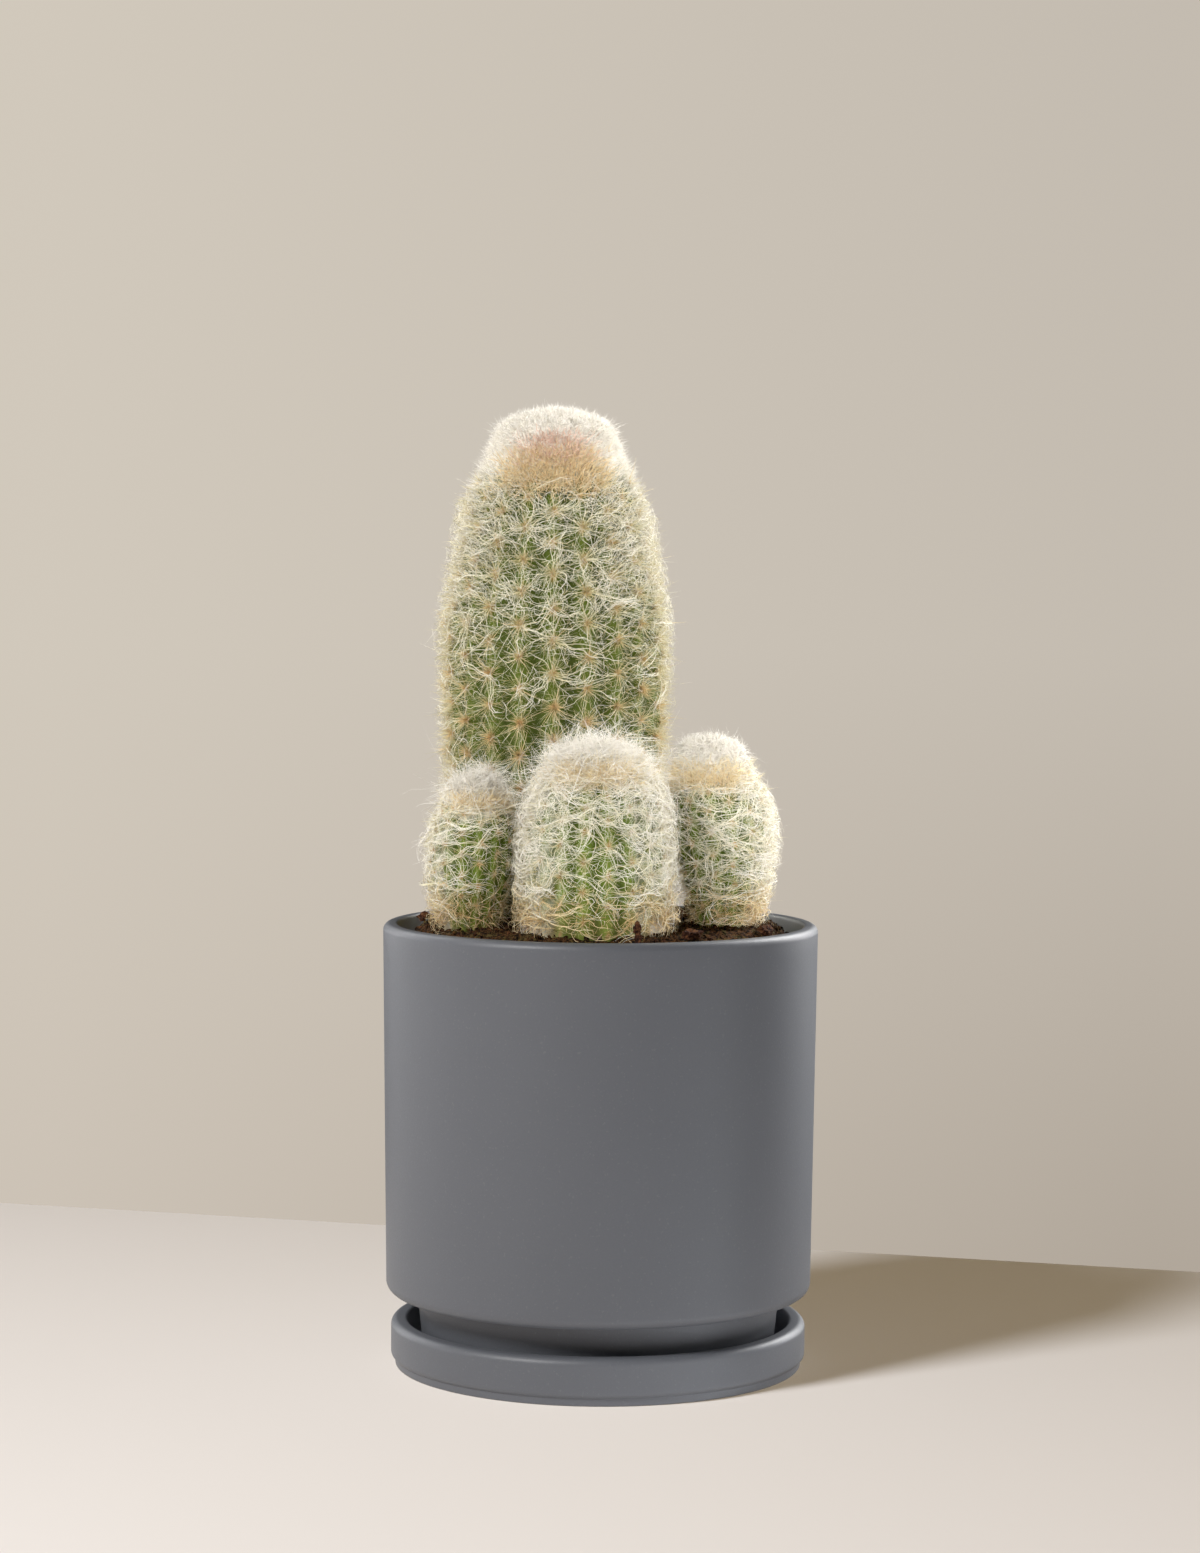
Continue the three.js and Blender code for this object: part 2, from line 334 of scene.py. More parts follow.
# A strand's tint is its place across a map of hair colours. Each name is a stretch of that map,
# and HAIR_COLOURS gives the map's stops: the place, the colour at the tip and that at the root.
TINTS = {
    "snow": (0.00, 0.05),
    "wool": (0.07, 0.18),
    "cream": (0.22, 0.38),
    "young": (0.41, 0.47),
    "gold": (0.42, 0.58),
    "felt": (0.62, 0.78),
    "pink": (0.82, 0.98),
}
HAIR_COLOURS = (
    (0.05, (0.940, 0.915, 0.865), (0.890, 0.850, 0.750)),
    (0.07, (0.950, 0.925, 0.850), (0.840, 0.800, 0.590)),
    (0.19, (0.920, 0.885, 0.775), (0.670, 0.620, 0.300)),
    (0.21, (0.870, 0.820, 0.600), (0.540, 0.450, 0.160)),
    (0.39, (0.810, 0.710, 0.410), (0.450, 0.330, 0.095)),
    (0.41, (0.940, 0.850, 0.610), (0.890, 0.730, 0.430)),
    (0.59, (0.880, 0.690, 0.400), (0.720, 0.480, 0.190)),
    (0.61, (0.850, 0.690, 0.420), (0.740, 0.520, 0.240)),
    (0.79, (0.780, 0.560, 0.270), (0.620, 0.380, 0.130)),
    (0.81, (0.950, 0.820, 0.730), (0.880, 0.580, 0.430)),
    (1.00, (0.900, 0.620, 0.490), (0.740, 0.380, 0.250)),
)
HAIR_MAP = "OFBake"


def hair_material():
    """Colour by the strand's own map: tint across, root to tip along."""
    s = Shader("cactus_hair")
    uv = s.node("UVMap")
    uv.uv_map = HAIR_MAP
    split = s.node("SeparateXYZ", Vector=uv.outputs["UV"])
    tint, along = split.outputs["X"], split.outputs["Y"]
    tips = s.ramp(tint, *((place, tip) for place, tip, _ in HAIR_COLOURS))
    roots = s.ramp(tint, *((place, root) for place, _, root in HAIR_COLOURS))
    grown = s.mix(s.ramp(along, (0.05, grey(0.0)), (0.70, grey(1.0))), roots, tips)
    streak = s.noise(uv.outputs["UV"], 160, 2.0)
    colour = s.mix(s.times(streak, 0.2), grown, (0.700, 0.640, 0.480))
    s.surface(colour, 0.55, 0.3)
    s.let_light_through(colour, 0.2)
    return s.material


CERAMIC = ceramic_material()
SOIL = soil_material()
BARK = bark_material()
FLESH = flesh_material()
HAIR = hair_material()


# ---- pot and saucer -----------------------------------------------------------------------
def rounded(x, y, radius, start, end, steps):
    """The points of an arc that rounds the corner at x, y between two angles, in degrees."""
    angles = np.radians(np.linspace(start, end, steps + 1))
    x -= math.copysign(radius, math.cos(angles.mean()))
    y -= math.copysign(radius, math.sin(angles.mean()))
    return [(x + radius * math.cos(a), y + radius * math.sin(a)) for a in angles]


def turned(name, parts, segments=160):
    """A closed profile turned about the vertical axis. Its parts are points of (radius, height),
    and a number between two of them cuts the line there into that many steps."""
    profile = []
    for i, part in enumerate(parts):
        if isinstance(part, int):
            start, end = np.array(parts[i - 1]), np.array(parts[i + 1])
            profile += [lerp(start, end, step / part) for step in range(1, part)]
        else:
            profile.append(part)
    radius, height = np.array(profile, float).T
    angles = all_round(segments)
    x, y = np.outer(np.cos(angles), radius), np.outer(np.sin(angles), radius)
    vertices = np.stack([x, y, np.tile(height, (segments, 1))], -1).reshape(-1, 3)
    return mesh_from(name, vertices, [ring_quads(segments, len(profile), rows_close=True)])


LIP_OUTSIDE = 2.2
LIP_INSIDE = 1.0
SAUCER_WALL = 5.0
POT_WALL = 4.4
POT_LOW_WALL = 4.8


def lip(outer, inner, top):
    """Round the outer edge of a wall's top, and less round the inner edge."""
    return [
        *rounded(outer, top, LIP_OUTSIDE, 0, 90, 10),
        *rounded(inner, top, LIP_INSIDE, 90, 180, 7),
    ]


def saucer():
    """From the middle of the underside out over the foot ring, up the wall and back inside."""
    _, high = box_mm("saucer")
    outer, top = high[0], high[2]
    inner, foot = outer - SAUCER_WALL, outer - 1.3
    foot_height, foot_round, ring_width, recess = 2.4, 0.6, 7.9, 1.0
    ring_inner = foot - ring_width
    lower_round, tuck = 1.7, 0.3
    floor_top, cove = 5.0, 2.6
    hole = 0.01  # the profile closes on itself this far from the axis
    parts = [
        (hole, recess), 6, (ring_inner, recess),
        (ring_inner + recess, 0.0),
        *rounded(foot, 0.0, foot_round, -90, 0, 4),
        (foot, foot_height - tuck),
        *rounded(outer, foot_height, lower_round, -75, 0, 6), 4, *lip(outer, inner, top), 3,
        *rounded(inner, floor_top, cove, 0, -90, 6), 6, (hole, floor_top),
    ]
    add_piece(turned("saucer_body", parts), CERAMIC, ["saucer"])


def pot():
    """From the drain hole out over the foot, up the wall, over the lip and down the inside."""
    low, high = box_mm("pot")
    rim, top, foot_bottom = high[0], high[2], low[2]
    draft, foot_height, recess, floor_thickness = 1.3, 16.9, 2.6, 4.0
    low_radius, body_bottom = rim - draft, foot_bottom + foot_height
    inside_rim, inside_low = rim - POT_WALL, low_radius - POT_LOW_WALL
    foot_top, foot, foot_round = rim - 10.7, rim - 11.8, 5.5
    ring_width, ring_round = 10.2, 0.5
    ring_inner, inside_foot = foot - ring_width, foot - POT_LOW_WALL
    floor_under = foot_bottom + recess
    floor_top = floor_under + floor_thickness
    shoulder = body_bottom + POT_LOW_WALL
    drain, edge, neck = 6.0, 3.2, 1.0
    corner, foot_corner, narrowing = 4.0, 2.0, 5.0
    parts = [
        (drain, floor_under), 4, (ring_inner - recess / 2, floor_under),
        *rounded(ring_inner, foot_bottom, ring_round, 180, 270, 3),
        *rounded(foot, foot_bottom, foot_round, -90, 0, 8), 4,
        *rounded(foot_top, body_bottom, neck, 180, 90, 4), 3,
        *rounded(low_radius, body_bottom, edge, -90, 0, 10), 24, *lip(rim, inside_rim, top), 8,
        *rounded(inside_low, shoulder, corner, 0, -90, 5),
        (inside_foot + foot_corner, shoulder - foot_corner),
        (inside_foot, shoulder - narrowing),
        *rounded(inside_foot, floor_top, foot_corner, 0, -90, 4),
        (drain, floor_top),
    ]
    mesh = turned("pot_body", parts)
    x, y, z = places_mm(mesh).T
    # This marks the inner wall, where the glaze is lightened as painted light.
    paint(mesh, "inside", (np.hypot(x, y) < inside_rim + 0.5) & (z > shoulder + 0.1))
    add_piece(mesh, CERAMIC, ["pot"])


# ---- soil ---------------------------------------------------------------------------------
POT_TOP = box_mm("pot")[1][2]
SOIL_EDGE, _, CROWN_TOP = box_mm("soil")[1]
CROWN_RADIUS = 50.0
WALL_DROP = 5.4
FRONT_WALL_DROP = 0.9
SOIL_DEPTH = 22.0  # of what scene.py builds: a skirt goes this far down inside the pot


def soil_height(x, y):
    """The CAD soil's own surface: level in the middle, falling to the wall, less at the front."""
    distance = np.hypot(x, y)
    frontness = smoothstep(0.35, 0.85, -y / np.maximum(distance, 1e-6))
    drop = lerp(WALL_DROP, FRONT_WALL_DROP, frontness)
    share = smoothstep(CROWN_RADIUS, SOIL_EDGE + 0.3, distance)
    return lerp(CROWN_TOP, POT_TOP - drop, share)


def soil_surface():
    """Rings of vertices, rough as loose mix is, with a skirt that goes down inside the pot."""
    rings, segments = 44, 190
    radii, angles = SOIL_EDGE * np.sqrt(np.linspace(0.0005, 1, rings)), all_round(segments)
    x, y = np.outer(radii, np.cos(angles)), np.outer(radii, np.sin(angles))
    flat = np.stack([x, y, np.zeros_like(x)], -1)
    z = soil_height(x, y) - 0.5
    z += 0.45 * waves(flat, 9.0, 11) + 0.35 * waves(flat, 3.6, 12) + 0.16 * waves(flat, 1.7, 13)
    top = np.stack([x, y, z], -1).reshape(-1, 3)
    skirt = top[-segments:].copy()
    skirt[:, 2] = POT_TOP - SOIL_DEPTH
    middles = [[0.0, 0.0, POT_TOP - SOIL_DEPTH], [0.0, 0.0, z[0].mean()]]
    vertices = np.concatenate([top, skirt, middles])
    i = np.arange(segments)
    j = (i + 1) % segments
    base, centre = rings * segments, len(vertices) - 1
    under = np.stack([np.full(segments, centre - 1), base + j, base + i], -1)
    middle = np.stack([np.full(segments, centre), i, j], -1)
    mesh = mesh_from("soil_surface", vertices, [ring_quads(rings + 1, segments), under, middle])
    add_piece(mesh, SOIL, ["soil"])


def ball():
    """A small ball: an octahedron whose faces are split once and pushed out to a sphere."""
    corners = [(1, 0, 0), (-1, 0, 0), (0, 1, 0), (0, -1, 0), (0, 0, 1), (0, 0, -1)]
    faces = [(0, 2, 4), (2, 1, 4), (1, 3, 4), (3, 0, 4), (2, 0, 5), (1, 2, 5), (3, 1, 5), (0, 3, 5)]
    vertices = [np.array(corner, float) for corner in corners]
    middles = {}

    def middle(a, b):
        key = (min(a, b), max(a, b))
        if key not in middles:
            vertices.append(unit(vertices[a] + vertices[b]))
            middles[key] = len(vertices) - 1
        return middles[key]

    split = []
    for a, b, c in faces:
        ab, bc, ca = middle(a, b), middle(b, c), middle(c, a)
        split += [(a, ab, ca), (ab, b, bc), (ca, bc, c), (ab, bc, ca)]
    return np.array(vertices), np.array(split)


def scattered_lumps(name, places, sizes, stretch, material, seed):
    """Rough lumps, each its own closed body, turned and stretched at random."""
    rng = np.random.default_rng(seed)
    shape, faces = ball()
    count, corners = len(places), len(shape)
    turns = unit(rng.normal(size=(count, 4)))
    rotation = np.array([Quaternion(turn).to_matrix() for turn in turns])
    rough = 1 + rng.uniform(-0.28, 0.28, (count, corners, 1))
    lumps = shape[None] * rough * rng.uniform(*stretch, (count, 1, 3)) * sizes[:, None, None]
    lumps = np.einsum("nij,nkj->nki", rotation, lumps) + places[:, None]
    offsets = (np.arange(count) * corners)[:, None, None]
    mesh = mesh_from(name, lumps.reshape(-1, 3), [(faces[None] + offsets).reshape(-1, 3)], False)
    return add_piece(mesh, material)


def soil_crumbs():
    """Crumbs of the mix and grit of bark, strewn over the soil and clear of the stems."""
    rng = np.random.default_rng(21)
    for name, count, low, high, material, slot, seed in (
        ("soil_crumbs", 1700, 0.30, 0.80, SOIL, "soil", 22),
        ("bark_grit", 500, 0.25, 0.70, BARK, "bark", 23),
    ):
        distance = (SOIL_EDGE - 1.0) * np.sqrt(rng.uniform(0.0, 1, count))
        angle = rng.uniform(0, 2 * np.pi, count)
        x, y = distance * np.cos(angle), distance * np.sin(angle)
        clear = np.ones(count, bool)
        for stem in STEMS:
            away = np.hypot(x - stem.centre[0], y - stem.centre[1])
            clear &= away > stem.radius_at(0) - 2
        x, y, size = x[clear], y[clear], lerp(low, high, rng.uniform(0, 1, count)[clear] ** 2)
        z = soil_height(x, y) - 0.35 + 0.35 * size
        scattered_lumps(name, np.stack([x, y, z], -1), size, (0.5, 1.2), material, seed)


def bark_pieces():
    """Each CAD chip, cut finer and roughened along its length."""
    for name in sorted(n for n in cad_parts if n.startswith("bark_")):
        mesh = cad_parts[name].data.copy()
        mesh.name = name + "_rough"
        mesh.materials.clear()
        piece = add_piece(mesh, BARK, [name])
        bevel = piece.modifiers.new("bevel", "BEVEL")
        bevel.width = 0.35 * MM
        bevel.segments = 2
        remesh = piece.modifiers.new("remesh", "REMESH")
        remesh.mode = "VOXEL"
        remesh.voxel_size = 0.22 * MM
        bpy.context.view_layer.objects.active = piece
        piece.select_set(True)
        for modifier in ("bevel", "remesh"):
            bpy.ops.object.modifier_apply(modifier=modifier)
        piece.select_set(False)
        places = places_mm(piece.data)
        rough = 0.42 * waves(places, 3.0, 31) + 0.22 * waves(places * [1, 1, 2.5], 1.2, 32) - 0.15
        places += unit(places - places.mean(0)) * rough[:, None]
        piece.data.vertices.foreach_set("co", (places * MM).astype(np.float32).ravel())
        piece.data.update()


# ---- strands ------------------------------------------------------------------------------
# A batch of strands is its points as (strand, step, 3), widths as (strand, step), the way that
# each strand's flat side faces, and one tint a strand.
TAN_SHIFT = 0.54  # how far along the hair colours white wool goes as it turns tan
NO_END = (998, 999)  # for hairs that go on down to the soil


def tints(rng, name, count):
    low, high = TINTS[name]
    return rng.uniform(low, high, count)


def weathered(rng, tint, s):
    """The tints of strands that start at lengths s: near the soil white and cream turn to tan."""
    low = 1 - smoothstep(3, 14, s + rng.normal(0, 3, len(s)))
    return np.where(tint < TINTS["gold"][0], tint + TAN_SHIFT * low, tint)


def ribbon(batch, first):
    """Flat strands: two vertices a step, and one at the tip."""
    points, width, outward, tint = batch
    count, steps, _ = points.shape
    along = unit(np.gradient(points, axis=1))
    half = unit(np.cross(along, outward)) * width[..., None] / 2
    sides = np.stack([points - half, points + half], 2)[:, :-1]
    vertices = np.concatenate([sides.reshape(count, -1, 3), points[:, -1:]], 1)
    size = 2 * steps - 1
    start = first + np.arange(count)[:, None] * size
    low = start + np.arange(steps - 2)[None] * 2
    quads = np.stack([low, low + 1, low + 3, low + 2], -1).reshape(-1, 4)
    tips = start + np.array([[size - 3, size - 2, size - 1]])
    v = np.repeat(np.linspace(0.01, 0.99, steps), 2)[:size]
    u = tint[:, None] + 0.002 * np.where(np.arange(size) % 2, 1, -1)
    uv = np.stack(np.broadcast_arrays(u, v), -1)
    return vertices.reshape(-1, 3), quads, tips, uv.reshape(-1, 2)


def add_strands(stem, part, batches):
    """One piece that holds every strand of the batches, with its own map of tint and length."""
    ribbons, first = [], 0
    for batch in batches:
        ribbons.append(ribbon(batch, first))
        first += len(ribbons[-1][0])
    vertices, quads, tips, uvs = (np.concatenate(arrays) for arrays in zip(*ribbons))
    mesh = mesh_from(f"{stem.node}_{part}", vertices, [quads, tips])
    corners = np.concatenate([quads.ravel(), tips.ravel()])
    layer = mesh.uv_layers.new(name=HAIR_MAP)
    layer.uv.foreach_set("vector", uvs[corners].astype(np.float32).ravel())
    add_piece(mesh, HAIR, [stem.node])


# ---- stems --------------------------------------------------------------------------------
class Stem:
    """A ribbed column. A place on it is an angle round the axis and a length along the skin,
    from the soil up to the tip. The outline is the CAD stem's: [share of height, radius], where
    the radius takes in the hair, which is coat deep low down and cap deep at the tip. spacing is
    the gap between areoles at the tip, the gap lower down, and the length over which it grows.
    The skin is white round the tip, and fleece gives where that begins to fade and where it ends,
    counted from the tip."""

    def __init__(
        self, node, x, y, lean, ribs, spacing, coat, cap, groove, lump, outline, fleece,
        woolly_sides, seed
    ):
        _, high = box_mm(node)
        self.node, self.ribs, self.seed, self.coat, self.cap = node, ribs, seed, coat, cap
        self.groove, self.lump, self.fleece, self.woolly_sides = groove, lump, fleece, woolly_sides
        self.young = node != "tall_stem"
        self.pale_band = 7.0 if self.young else 1.5
        self.lean, self.centre = np.array(lean), np.array([x, y])
        self.base = CROWN_TOP
        self.height = high[2] - self.base
        knots = [(radius, self.height * rise) for rise, radius in outline]
        buried = (knots[0][0] * 0.9, -9.0)
        mirrored = (-knots[-1][0], knots[-1][1])
        self.lay_out([buried, *knots, (0.0, self.height), mirrored])
        least, self.spacing, over = spacing
        self.gaps = lerp(least, self.spacing, smoothstep(0, over, self.length - self.s))
        steps = np.diff(self.s) / ((self.gaps[1:] + self.gaps[:-1]) / 2)
        self.turns = np.concatenate([[0], np.cumsum(steps)])

    def lay_out(self, knots):
        """A Catmull-Rom curve through the knots, sunk by the coat and read at even steps."""
        k = np.array([knots[0], *knots], float)
        fine = []
        for a, b, c, d in zip(k[:-3], k[1:-2], k[2:-1], k[3:]):
            t = np.linspace(0, 1, 60, endpoint=False)[:, None]
            bent = (2 * a - 5 * b + 4 * c - d) * t**2 + (3 * b - a - 3 * c + d) * t**3
            fine.append(0.5 * (2 * b + (c - a) * t + bent))
        curve = np.concatenate([*fine, [k[-2]]])
        way = unit(np.gradient(curve, axis=0))
        to_tip = np.linalg.norm(curve - curve[-1], axis=1)
        sunk = lerp(self.cap, self.coat, smoothstep(8, 34, to_tip))[:, None]
        curve = curve + np.stack([-way[:, 1], way[:, 0]], -1) * sunk
        curve = curve[(curve[:, 0] > 0) & (np.arange(len(curve)) > 0)]
        curve = np.concatenate([curve, [[0.0, curve[-1, 1]]]])
        run = np.concatenate([[0], np.cumsum(np.linalg.norm(np.diff(curve, axis=0), axis=1))])
        s = np.linspace(0, run[-1], 900)
        self.r = np.maximum(np.interp(s, run, curve[:, 0]), 0)
        self.z = np.interp(s, run, curve[:, 1])
        at_soil = np.interp(0.0, self.z, s)
        self.s, self.length = s - at_soil, run[-1] - at_soil
        widening, climb = np.gradient(self.r, s), np.gradient(self.z, s)
        size = np.hypot(widening, climb)
        self.widening, self.climb = widening / size, climb / size

    def radius_at(self, s):
        return np.interp(s, self.s, self.r)

    def slope_at(self, s):
        """How fast the skin runs outwards and upwards, as a unit vector."""
        return np.interp(s, self.s, self.widening), np.interp(s, self.s, self.climb)

    def place(self, phi, s, lift=0.0):
        """The point at an angle and length, lifted off the skin."""
        widening, climb = self.slope_at(s)
        r = self.radius_at(s) + lift * climb
        z = np.interp(s, self.s, self.z) - lift * widening
        bend = np.clip(z / self.height, 0, 1.1) ** 2
        x = self.centre[0] + self.lean[0] * bend + r * np.cos(phi)
        y = self.centre[1] + self.lean[1] * bend + r * np.sin(phi)
        return np.stack(np.broadcast_arrays(x, y, self.base + z), -1)

    def axes(self, phi, s):
        """Unit vectors at a place: out from the skin, up along it and sideways round it."""
        widening, climb = self.slope_at(s)
        cos, sin = np.cos(phi), np.sin(phi)
        out = np.stack(np.broadcast_arrays(climb * cos, climb * sin, -widening), -1)
        up = np.stack(np.broadcast_arrays(widening * cos, widening * sin, climb), -1)
        side = np.stack(np.broadcast_arrays(-sin, cos, np.zeros_like(climb)), -1)
        return out, up, side

    def flank(self, phi):
        """1 on the sides that wool gathers on, and 0 between them."""
        nearest = [smoothstep(0.35, 0.95, np.cos(phi - angle)) for angle in self.woolly_sides]
        return np.max(nearest, axis=0) if nearest else np.zeros_like(phi)

    def areoles(self, from_s=1.0, to_tip=1.5):
        """The angle, length and size of each areole, staggered from rib to rib."""
        rng = np.random.default_rng(self.seed)
        found = []
        for rib in range(self.ribs):
            turn = np.arange(math.floor(self.turns[-1]) + 1) + 0.5 * (rib % 2)
            s = np.interp(turn, self.turns, self.s)
            s = s[(s > from_s) & (s < self.length - to_tip)]
            found.append(np.stack([np.full(len(s), rib * 2 * np.pi / self.ribs), s], -1))
        phi, s = np.concatenate(found).T
        room = np.minimum(np.interp(s, self.s, self.gaps), 2 * np.pi * self.radius_at(s) / self.ribs)
        size = np.clip(room / self.spacing, 0.3, 1.0)
        phi = phi + rng.normal(0, 0.25, len(s)) / np.maximum(self.radius_at(s), 2)
        s = s + rng.normal(0, 0.25, len(s)) * size
        return phi, s, size

    def flesh(self, across=7, along=1.6):
        """The ribbed skin, raised a little at each areole and over the woolly tip."""
        columns, rows = self.ribs * across, int(self.length / along)
        edges = np.concatenate([[self.s[0]], np.linspace(-3, self.length - 0.05, rows)])
        s, phi = np.meshgrid(edges, all_round(columns), indexing="ij")
        crest = 0.5 + 0.5 * np.cos(self.ribs * phi)
        radius = self.radius_at(s)
        ribbed = smoothstep(0.1, 0.6, radius / self.r.max())
        turn = np.interp(s, self.s, self.turns)
        alternate = np.cos(self.ribs / 2 * phi) * np.cos(2 * np.pi * turn)
        swelling = crest**2 * (0.5 + 0.5 * alternate)
        start, end = self.fleece
        back, flank = self.length - s, self.flank(phi)
        near_tip = 1 - smoothstep(start, end + 4, back)
        spots = np.stack([phi * radius, s, radius], -1)
        patch = waves(spots, 5.0, self.seed + 1)
        ragged = 2.5 * patch
        fleece = 1 - smoothstep(start, end, back + ragged)
        pale = 1 - smoothstep(start + self.pale_band, end + self.pale_band, back + ragged)
        fleece = np.maximum(fleece, flank * (0.30 + 0.30 * patch))
        lift = ribbed * (self.lump * swelling - self.groove * (1 - crest))
        lift = lerp(lift, self.cap * 0.5, np.minimum(fleece, near_tip))
        lift = lift + near_tip * 0.35 * waves(spots, 3.5, self.seed)
        vertices = self.place(phi, s, lift).reshape(-1, 3)
        tip = self.place(0.0, self.length, float(self.cap * 0.5))
        root = np.array([*self.centre, self.base + self.z[0]])
        i = np.arange(columns)
        j = (i + 1) % columns
        last = (len(edges) - 1) * columns
        cap = np.stack([last + i, last + j, np.full(columns, len(vertices))], -1)
        under = np.stack([j, i, np.full(columns, len(vertices) + 1)], -1)
        skin = ring_quads(len(edges), columns)[:, [0, 3, 2, 1]]  # turned to face outwards
        mesh = mesh_from(f"{self.node}_flesh", [*vertices, tip, root], [skin, cap, under])
        cork = (1 - smoothstep(2, 14, s + ragged * 2)) * (0.2 + 0.8 * flank)
        areole = smoothstep(0.72, 1.0, swelling) * ribbed * (1 - fleece)
        for name, values, at_tip in (
            # crest also darkens the skin into the grooves, as painted shade.
            ("crest", lerp(0.6, crest, ribbed), 1.0),
            ("areole", areole, 0.0),
            ("fleece", np.maximum(fleece, pale), 1.0),
            ("young", np.full_like(fleece, self.young), self.young),
            ("cork", cork, 0.0),
        ):
            paint(mesh, name, np.append(values.ravel(), [at_tip, 0.0]))
        add_piece(mesh, FLESH, [self.node])


def chosen(areoles, pick):
    return [values[pick] for values in areoles]


def bristles(stem, rng, areoles, count, length, rise, width, tint, steps=3, droop=0.1, bow=0.16):
    """Fine spines that radiate from each areole, close over the skin and a little bowed."""
    phi, s, size = areoles
    total = (len(s), count)
    out, up, side = (v[:, None] for v in stem.axes(phi, s))
    root = stem.place(phi, s, 0.6)[:, None]
    turn = (np.arange(count) + rng.uniform(-0.9, 0.9, total)) * (2 * np.pi / count)
    turn = (turn + rng.uniform(0, 2 * np.pi, (len(s), 1)))[..., None]
    tilt = np.radians(rng.normal(*rise, total)).clip(-0.02, 1.45)[..., None]
    way = np.cos(tilt) * (np.cos(turn) * side + np.sin(turn) * up) + np.sin(tilt) * out
    reach = (rng.uniform(*length, total) * size[:, None])[..., None]
    away = rng.normal(0, bow, (*total, 3)) - out * droop
    u = np.linspace(0, 1, steps)[None, None, :, None]
    spread = rng.normal(0, 0.4, (*total, 2)) * size[:, None, None]
    root = root + side * spread[..., :1] + up * spread[..., 1:]
    points = root[:, :, None] + way[:, :, None] * reach[:, :, None] * u
    points = points + away[:, :, None] * reach[:, :, None] * u**2
    points = points.reshape(-1, steps, 3)
    taper = np.linspace(1, 0.15, steps)[None] * rng.uniform(0.7, 1.3, (len(points), 1)) * width
    outward = unit(out + rng.normal(0, 0.45, (*total, 3))).reshape(-1, 1, 3)
    return points, taper, outward, tints(rng, tint, len(points))


def felt(stem, rng, areoles, count, length, width):
    """The short dense tuft in the middle of each areole."""
    return bristles(stem, rng, areoles, count, length, (50, 24), width, "felt", 3, 0.0, 0.25)


def wander(stem, rng, phi, s, steps, step, heading, curl, lift, top):
    """Paths that start at places on the skin and wander over it like loose wool. They lie closer
    near the tip, and each turns back at a distance of its own from it, near top."""
    count = len(phi)
    rates = rng.uniform(0.3, 1.0, (3, count)) * np.array([[1.0], [2.0], [3.4]])
    phases = rng.uniform(0, 2 * np.pi, (3, count))
    strengths = rng.normal(0, curl, (3, count)) / np.array([[1.0], [1.3], [2.0]])
    highest = rng.uniform(*lift, count)
    limit = np.maximum(stem.length - top + rng.uniform(-8, 2.5, count), s)
    wave = rng.uniform(0, 2 * np.pi, count)
    path = []
    for i in range(steps):
        share = i / (steps - 1)
        loose = 0.35 + 0.65 * smoothstep(top - 2, top + 14, stem.length - s)
        height = lerp(0.6, highest * loose, min(1.0, share * 3.0)) + 0.4 * np.sin(wave + i * 0.9)
        path.append(np.stack([phi, s, height], -1))
        heading = heading + (strengths * np.sin(rates * i + phases)).sum(0)
        phi = phi + np.cos(heading) * step / np.maximum(stem.radius_at(s), 1.5)
        s = np.clip(s + np.sin(heading) * step, -1.0, limit)
    return np.stack(path, 1)


def gathered(stem, phi, s, seed, wavelength=14.0):
    """How much wool has gathered at each place, from 0 to 1: it lies in loose patches."""
    radius = stem.radius_at(s)
    places = np.stack([radius * np.cos(phi), radius * np.sin(phi), s * 1.6], -1)
    return smoothstep(-0.5, 0.6, waves(places, wavelength, seed, 8))


def wool(stem, rng, areoles, likely, top, per, steps, step, curl, lift, width, children, spread, level):
    """Loose white wool. Guide strands wander from the areoles, per of them from each where wool
    is likely. They set out sideways, give or take level, and each has children beside it."""
    phi, s, _ = areoles
    pick = np.repeat(np.arange(len(s)), per)
    pick = pick[rng.uniform(0, 1, len(pick)) < likely[pick]]
    heading = rng.choice([0.0, np.pi], len(pick)) + rng.normal(0, level, len(pick))
    guide = wander(stem, rng, phi[pick], s[pick], steps, step, heading, curl, lift, top)
    count = len(guide) * children
    guide = np.repeat(guide, children, 0)
    share = np.linspace(0, 1, steps)[None]
    pinch = np.sin(share * rng.uniform(2, 7, (count, 1)) + rng.uniform(0, 3, (count, 1)))
    loose = (0.35 + 0.65 * np.abs(pinch)) * smoothstep(0, 0.25, share)
    offset = rng.normal(0, spread, (count, 1, 3)) * loose[..., None]
    offset = offset + rng.normal(0, spread * 0.14, (count, steps, 3))
    around, along, height = np.moveaxis(guide, -1, 0)
    points = stem.place(
        around + offset[..., 0] / np.maximum(stem.radius_at(along), 1.5),
        along + offset[..., 1],
        np.maximum(height + offset[..., 2] * 0.6, 0.3),
    )
    out, _, _ = stem.axes(around, along)
    outward = unit(out + rng.normal(0, 0.5, (count, 1, 3)))
    taper = np.interp(share, [0, 0.1, 0.75, 1], [0.7, 1, 1, 0.25])
    taper = taper * rng.uniform(0.6, 1.3, (count, 1)) * width
    whiter = 0.07 * stem.flank(phi[pick].repeat(children))
    tint = weathered(rng, tints(rng, "wool", count) - whiter, s[pick].repeat(children))
    return points, taper, outward, tint


